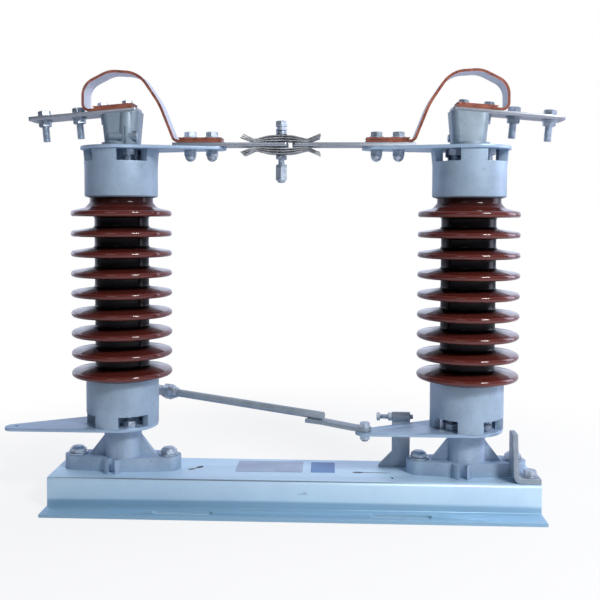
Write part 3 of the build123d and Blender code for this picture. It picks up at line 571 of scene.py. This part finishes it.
# ---------------------------------------------------------------- lever plates and blade plates
# Teardrop plates flame-cut from 5 mm steel and galvanised. The lower pair turn on spindles in the seats.
plate_zinc = galvanised("plate_zinc", (0.42, 0.56, 0.72), (0.33, 0.45, 0.60), 11.0, 0.36, 0.40)
for side in ("left", "right"):
    cladding(side + "_lever_plate", side + "_lever", plate_zinc, 0.0006)
    cladding(side + "_blade_plate", side + "_carrier", plate_zinc, 0.0006)

# ---------------------------------------------------------------- end fittings
# Cast caps cemented onto both ends of each post, standing on four feet with windows for the nuts.
cap_skin = cast("cap_skin", (0.38, 0.50, 0.62), (0.30, 0.40, 0.50), 260.0, 0.38, 0.30, 0.0004)
for node in ("left_lower_fitting", "right_lower_fitting", "left_upper_fitting", "right_upper_fitting"):
    cladding(node, node + "_cap", cap_skin, 0.0014, 3)

# ---------------------------------------------------------------- porcelain posts
# Solid porcelain turned, dipped in brown glaze and fired. The glaze is thick and glossy, thinner on the rims.
glaze = Finish("brown_glaze", Coat_Roughness=0.05, Specular_IOR_Level=0.1)
across = glaze.add("ShaderNodeMath", {"operation": "ABSOLUTE"},
                   _0=glaze.add("ShaderNodeSeparateXYZ", None, "X", Vector=glaze.place)) - AXIS
along = glaze.add("ShaderNodeSeparateXYZ", None, "Y", Vector=glaze.place)
# The share of the surface away from the core. Nearer the core, between the sheds, the colour is darkened as painted
# shade and the coat is thinned.
clear_of_painted_shade = glaze.between((across * across + along * along) ** 0.5, 0.045, 0.064)
drift = glaze.noise(16.0, 3.0, 0.5)
speck = glaze.between(glaze.noise(260.0, 2.0, 0.5), 0.7, 0.78)
body_tone = glaze.mix(drift, (0.084, 0.015, 0.011), (0.132, 0.024, 0.017))
# Painted shade: close to the core, between the sheds, the colour goes almost black.
body_tone = glaze.mix(clear_of_painted_shade, (0.006, 0.003, 0.003), body_tone)
glaze.feed(Base_Color=glaze.mix(speck * 0.4, body_tone, (0.03, 0.006, 0.005)), Roughness=0.14 + 0.1 * drift,
           Coat_Weight=0.06 + 0.94 * clear_of_painted_shade)
glaze.bump(drift, 0.0006, 0.25)


def rounded(points, radii, step):
    """A path through the points with each inner corner turned on its radius, as a list of (x, z)."""
    spots = [Vector(p) for p in points]
    path = [spots[0]]
    for before, here, after, radius in zip(spots, spots[1:], spots[2:], radii):
        into = (here - before).normalized()
        out = (after - here).normalized()
        turn = into.angle_signed(out)
        if abs(turn) < 1e-4 or not radius:
            path.append(here)
            continue
        run = radius * math.tan(abs(turn) / 2)
        first = here - into * run
        count = max(3, int(radius * abs(turn) / step))
        side = Vector((into.y, -into.x)) * (1 if turn > 0 else -1)
        centre = first + side * radius
        for index in range(count + 1):
            spin = Matrix.Rotation(-turn * index / count, 2)
            path.append(centre + spin @ (first - centre))
    return path + [spots[-1]]


MM = 0.001
NECK, CORE, SHED = 50, 43, 80
profile = [(0.3, 156), (NECK, 156)]
bends = [0]
for index in range(9):
    rim = 208.5 + 32 * index
    last = index == 8
    root, hollow = (NECK, 8) if last else (CORE, 3)
    profile += [(CORE if index else NECK, rim - 5), (SHED, rim - 4.5), (SHED, rim + 4.3)]
    profile += [(root + hollow - 1, rim + 9.6), (root, rim + 9.8 + hollow)]
    bends += [3.0, 4.3, 4.3, 10.0 if last else 5.0, 6.0 if last else 4.0]
profile += [(NECK, 536), (0.3, 536)]
bends += [0]
outline = rounded([(x * MM, z * MM) for x, z in profile], [b * MM for b in bends], 0.0009)
for side, sign in facing.items():
    post_form = bmesh.new()
    corners = [post_form.verts.new((x, 0, z)) for x, z in outline]
    edges = [post_form.edges.new(pair) for pair in zip(corners, corners[1:])]
    bmesh.ops.spin(post_form, geom=corners + edges, cent=(0, 0, 0), axis=(0, 0, 1), angle=math.tau, steps=112,
                   use_merge=True)
    bmesh.ops.translate(post_form, verts=post_form.verts, vec=(-AXIS * sign, 0, 0))
    made(side + "_post", post_form, [glaze], side + "_column", side + "_porcelain", sharp=60)

# ---------------------------------------------------------------- cement beads
# Portland cement, struck off and painted with bitumen where each post enters its two caps.
bitumen = Finish("cement_bead")
crumbs = bitumen.noise(400.0, 4.0, 0.6)
bitumen.feed(Base_Color=bitumen.mix(crumbs, (0.020, 0.021, 0.024), (0.085, 0.088, 0.095)),
             Roughness=0.6 + 0.3 * crumbs)
bitumen.bump(crumbs, 0.0005, 0.6)
BEAD = ((0.0495, -0.001), (0.0535, -0.0008), (0.0532, 0.0004), (0.0515, 0.0011), (0.0495, 0.0014))
for side, sign in facing.items():
    beads = bmesh.new()
    for level, up in ((0.201, 1), (0.491, -1)):
        lathe(beads, at(-AXIS * sign, 0, level) @ flip(up), BEAD, 96)
    made(side + "_cement", beads, [bitumen], side + "_column", sharp=70)

# ---------------------------------------------------------------- blades, fingers and line terminals
# Hard-drawn copper bar and strip, tinned all over. The tin is a soft satin silver with faint drawing lines.
tin = Finish("tinned_copper", Metallic=0.8)
lines = tin.noise(70.0, 3.0, 0.6, (0.06, 1.0, 1.0))
cloud = tin.noise(20.0, 3.0, 0.5)
tin.feed(Base_Color=tin.mix(cloud, (0.34, 0.37, 0.42), (0.46, 0.49, 0.55)), Roughness=0.28 + 0.18 * lines)
tin.bump(lines, 0.0002, 0.3)
for node in ("left_blade", "right_blade", "left_terminal_bar", "right_terminal_bar"):
    cladding(node, node + "_tinned", tin, 0.0004)

# ---------------------------------------------------------------- contact fingers
# Three arched fingers above the blades and three below, each a packet of thin sprung leaves whose ends are
# bent away from the blade. The leaves have splayed a little with use and are dull grey where they rub.
worn_tin = Finish("worn_tin", Metallic=0.7)
drag = worn_tin.noise(120.0, 4.0, 0.6, (0.15, 1.0, 1.0))
soot = worn_tin.noise(55.0, 3.0, 0.6)
worn_tin.feed(Base_Color=worn_tin.mix(worn_tin.between(soot * 0.6 + drag * 0.4, 0.36, 0.62), (0.20, 0.21, 0.22),
                                      (0.60, 0.62, 0.63)),
              Roughness=0.28 + 0.3 * soot)
worn_tin.bump(drag, 0.0002, 0.5)


def ribbon(form, place, path, low, high, near, far, edge_finish=0):
    """Sweeps a strip along a path, between two offsets from it and two sides. Its thin edges take edge_finish."""
    rows = []
    for index, spot in enumerate(path):
        ahead = path[min(index + 1, len(path) - 1)] - path[max(index - 1, 0)]
        normal = Vector((-ahead.y, ahead.x)).normalized()
        rows.append([form.verts.new(place @ Vector((spot.x + normal.x * offset, side, spot.y + normal.y * offset)))
                     for offset, side in ((low, near), (low, far), (high, far), (high, near))])
    for first, second in zip(rows, rows[1:]):
        for corner in range(4):
            face = form.faces.new((first[corner - 1], first[corner], second[corner], second[corner - 1]))
            face.material_index = edge_finish if corner in (0, 2) else 0
    for row in (rows[0], rows[-1]):
        form.faces.new(row).material_index = edge_finish


for name, level, up in (("upper", 0.5773, 1), ("lower", 0.5707, -1)):
    fingers = bmesh.new()
    place = at(CONTACT_X, 0, level) @ flip(up)
    for finger in range(3):
        near = -0.019 + finger * 0.01333
        for leaf, crown in enumerate((0.0024, 0.0048, 0.0071)):
            spread = (leaf - 1) * 0.0011 + (finger - 1) * 0.0007 * up
            low = 0.00165 * leaf
            tip = 0.0086 + spread
            left, right = 0.064 - 0.0016 * leaf, 0.064 - 0.0013 * (2 - leaf)
            points = [(-left, tip), (-0.042, 0.0001), (-0.0192, crown * 0.82), (0, crown), (0.0192, crown * 0.82),
                      (0.042, 0.0001), (right, tip - 0.0006 * (finger - 1))]
            path = rounded(points, [0.012, 0.04, 0.06, 0.04, 0.012], 0.0012)
            ribbon(fingers, place, path, low, low + 0.0016, near + 0.0002 * leaf, near + 0.0112 - 0.0002 * leaf)
    made(name + "_finger_packet", fingers, [worn_tin], "left_column", name + "_contact_fingers", sharp=40)

# ---------------------------------------------------------------- terminal heads
# Split castings that turn on the blade plates' stubs and stay still while the posts turn under them. A cast
# boss closes round the clamp bolt of each.
head_skin = cast("head_skin", (0.32, 0.40, 0.47), (0.24, 0.31, 0.37), 280.0, 0.38, 0.3, 0.0004)
for side in ("left", "right"):
    head = cladding(side + "_terminal_head", side + "_head", head_skin, 0.0014, 3)
    boss = bmesh.new()
    boss.from_mesh(head.data)
    disc(boss, on_column(side, 0, -0.0225, CLAMP_FACE[2]) @ LYING, 0.0072, -0.013, 0.0246)
    bmesh.ops.recalc_face_normals(boss, faces=boss.faces)
    boss.to_mesh(head.data)
    boss.free()
    for face in head.data.polygons:
        face.use_smooth = True

# ---------------------------------------------------------------- straps
# Stacks of thin copper sheet, tinned on their outer faces with bare copper along the edges. Shorter sheets
# are pressed on at both ends, where the screws go through.
bare_copper = Finish("bare_copper", Metallic=0.35)
tarnish = bare_copper.noise(70.0, 4.0, 0.6)
streak = bare_copper.noise(240.0, 2.0, 0.5)
brown = bare_copper.mix(bare_copper.between(tarnish, 0.35, 0.65), (0.27, 0.070, 0.036), (0.44, 0.135, 0.072))
streaks = bare_copper.between(streak, 0.58, 0.72) * 0.25
bare_copper.feed(Base_Color=bare_copper.mix(streaks, brown, (0.14, 0.045, 0.03)), Roughness=0.34 + 0.25 * tarnish)
bare_copper.bump(streak, 0.0002, 0.4)
strap_tin = Finish("strap_tin", Metallic=0.15)
dull = strap_tin.noise(26.0, 3.0, 0.5)
fine = strap_tin.noise(150.0, 3.0, 0.6, (0.2, 1.0, 1.0))
strap_tin.feed(Base_Color=strap_tin.mix(dull, (0.52, 0.56, 0.66), (0.63, 0.66, 0.75)), Roughness=0.34 + 0.2 * fine)
strap_tin.bump(dull * 0.7 + fine * 0.3, 0.0004, 0.3)


def sloped(x, z):
    """A point of the head's sloping top, in the column's upright plane."""
    spot = Matrix.Rotation(-DROOP, 4, "Y") @ Vector((x, 0, z))
    return spot.x, spot.z + HEAD_TOP


low_bend = sloped(-0.056, 0.0085)
strap_points = [sloped(0.024, 0.0085), low_bend, (-0.056, low_bend[1] + 0.041), (-0.014, 0.6896), (0.033, 0.6866)]
strap_points += [(0.066, 0.6376), (0.089, 0.5795), (0.164, 0.5795)]
strap_path = rounded(strap_points, [0.010, 0.028, 0.040, 0.042, 0.120, 0.009], 0.0016)
SHEETS = 9
STACK = 0.0043
for side, sign in facing.items():
    strap_form = bmesh.new()
    place = on_column(side)
    pitch = STACK / SHEETS
    for sheet in range(SHEETS):
        low = -STACK / 2 + pitch * sheet
        ragged = 0.00025 * ((sheet * 5) % 4)
        ribbon(strap_form, place, strap_path, low, low + pitch * 0.86, -0.020 + ragged, 0.020 - ragged, 1)
    for ends in ((sloped(-0.040, 0.0), sloped(0.024, 0.0), 0.011), ((0.095, 0.577), (0.164, 0.577), 0.005)):
        first, last, floor = Vector(ends[0]), Vector(ends[1]), ends[2]
        for sheet in range(5):
            low = floor + 0.0006 * sheet
            short = 0.0006 * (4 - sheet)
            along = (last - first).normalized() * short
            ragged = 0.00025 * ((sheet * 3) % 4)
            ribbon(strap_form, place, [first + along, last - along], low, low + 0.00052, -0.020 + ragged,
                   0.020 - ragged, 1)
    finishes = [strap_tin, bare_copper]
    strap_piece = made(side + "_laminated_strap", strap_form, finishes, None, side + "_strap", sharp=40)
    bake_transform(strap_piece)

# ---------------------------------------------------------------- cross link and stops
# Galvanised round bar with a welded flat tongue, and flat-bar stops bolted to the base.
link_zinc = galvanised("link_zinc", (0.38, 0.44, 0.50), (0.27, 0.32, 0.38), 18.0, 0.42, 0.45)
for node in ("link_rod", "open_stop", "closed_stop"):
    cladding(node, node + "_zinc", link_zinc, 0.0006)

# ---------------------------------------------------------------- stage
# A plain pale floor and soft studio light. Far from the object the floor fades to the backdrop's white.
floor_paint = Finish("floor_paint", Base_Color=(0.86, 0.86, 0.86, 1), Roughness=0.9, Specular_IOR_Level=0.1)
reach = floor_paint.add("ShaderNodeVectorMath", {"operation": "LENGTH"}, "Value", _0=floor_paint.place)
seen = floor_paint.add("ShaderNodeLightPath", None, "Is Camera Ray")
glow = floor_paint.tree.nodes.new("ShaderNodeEmission")
glow.inputs["Color"].default_value = (1, 1, 1, 1)
shade = floor_paint.tree.nodes.new("ShaderNodeMixShader")
share = seen * (0.80 + 0.20 * floor_paint.between(reach, 0.45, 1.00))
floor_paint.tree.links.new(share.socket, shade.inputs[0])
floor_paint.tree.links.new(floor_paint.shader.outputs[0], shade.inputs[1])
floor_paint.tree.links.new(glow.outputs[0], shade.inputs[2])
floor_paint.tree.links.new(shade.outputs[0], floor_paint.tree.nodes["Material Output"].inputs[0])
floor_form = bmesh.new()
bmesh.ops.create_grid(floor_form, x_segments=1, y_segments=1, size=8)
floor = made("floor", floor_form, [floor_paint], None)

# The room is pale behind and to the right and dim in front, and pure white where the camera sees it directly.
world = bpy.data.worlds.new("studio")
bpy.context.scene.world = world
world.use_nodes = True
sky = world.node_tree
background = sky.nodes["Background"]
ray = sky.nodes.new("ShaderNodeLightPath")
white = sky.nodes.new("ShaderNodeBackground")
white.inputs["Color"].default_value = (1, 1, 1, 1)
white.inputs["Strength"].default_value = 1.0
background.inputs["Color"].default_value = (0.75, 0.81, 1.0, 1)
bearing = sky.nodes.new("ShaderNodeTexCoord")
compass = sky.nodes.new("ShaderNodeSeparateXYZ")
sky.links.new(bearing.outputs["Generated"], compass.inputs[0])
sides = []
for axis, first, last in (("Y", -0.30, 0.80), ("X", -0.50, 0.90)):
    side_light = sky.nodes.new("ShaderNodeMapRange")
    side_light.interpolation_type = "SMOOTHSTEP"
    side_light.inputs["From Min"].default_value = first
    side_light.inputs["From Max"].default_value = last
    sky.links.new(compass.outputs[axis], side_light.inputs["Value"])
    sides.append(Wire(sky, side_light.outputs[0]))
strength = 0.06 + 0.82 * sides[0] + 0.30 * sides[1]
sky.links.new(strength.socket, background.inputs["Strength"])
blend = sky.nodes.new("ShaderNodeMixShader")
sky.links.new(ray.outputs["Is Camera Ray"], blend.inputs[0])
sky.links.new(background.outputs[0], blend.inputs[1])
sky.links.new(white.outputs[0], blend.inputs[2])
sky.links.new(blend.outputs[0], sky.nodes["World Output"].inputs[0])


def lamp(name, place, aim, width, height, power, tint=(1, 1, 1)):
    """A rectangular soft box."""
    light = bpy.data.lights.new(name, "AREA")
    light.shape = "RECTANGLE"
    light.size = width
    light.size_y = height
    light.energy = power
    light.color = tint
    box = bpy.data.objects.new(name, light)
    box.location = place
    box.rotation_euler = (Vector(aim) - Vector(place)).to_track_quat("-Z", "Y").to_euler()
    bpy.context.scene.collection.objects.link(box)


lamp("key", (1.3, -1.5, 1.6), (0, 0, 0.3), 0.6, 0.45, 38)
lamp("fill", (-0.7, -2.2, 1.3), (0, 0, 0.3), 0.9, 0.6, 4)
lamp("top", (0, 0.3, 2.5), (0, 0, 0.3), 1.8, 1.0, 3)
lamp("right_rim", (1.9, 0.3, 0.8), (0, 0, 0.35), 0.8, 1.3, 12, (0.80, 0.78, 1.0))
lamp("left_rim", (-1.6, 1.1, 0.8), (0, 0, 0.35), 0.8, 1.3, 2, (0.80, 0.80, 1.0))

camera = bpy.data.cameras.new("camera")
camera.sensor_width = 36
camera.lens = 49.845
camera.shift_x = 0.0116
camera.shift_y = -0.0735
camera.clip_start = 0.1
camera.clip_end = 30
eye = bpy.data.objects.new("camera", camera)
eye.location = (0.0559, -1.330, 0.4629)
tilted = Matrix.Rotation(0.0427, 4, "Z") @ Matrix.Rotation(math.pi / 2 - 0.0491, 4, "X")
eye.rotation_euler = (tilted @ Matrix.Rotation(0.003, 4, "Z")).to_euler()
bpy.context.scene.collection.objects.link(eye)
bpy.context.scene.camera = eye
bpy.context.scene.view_settings.view_transform = "Standard"
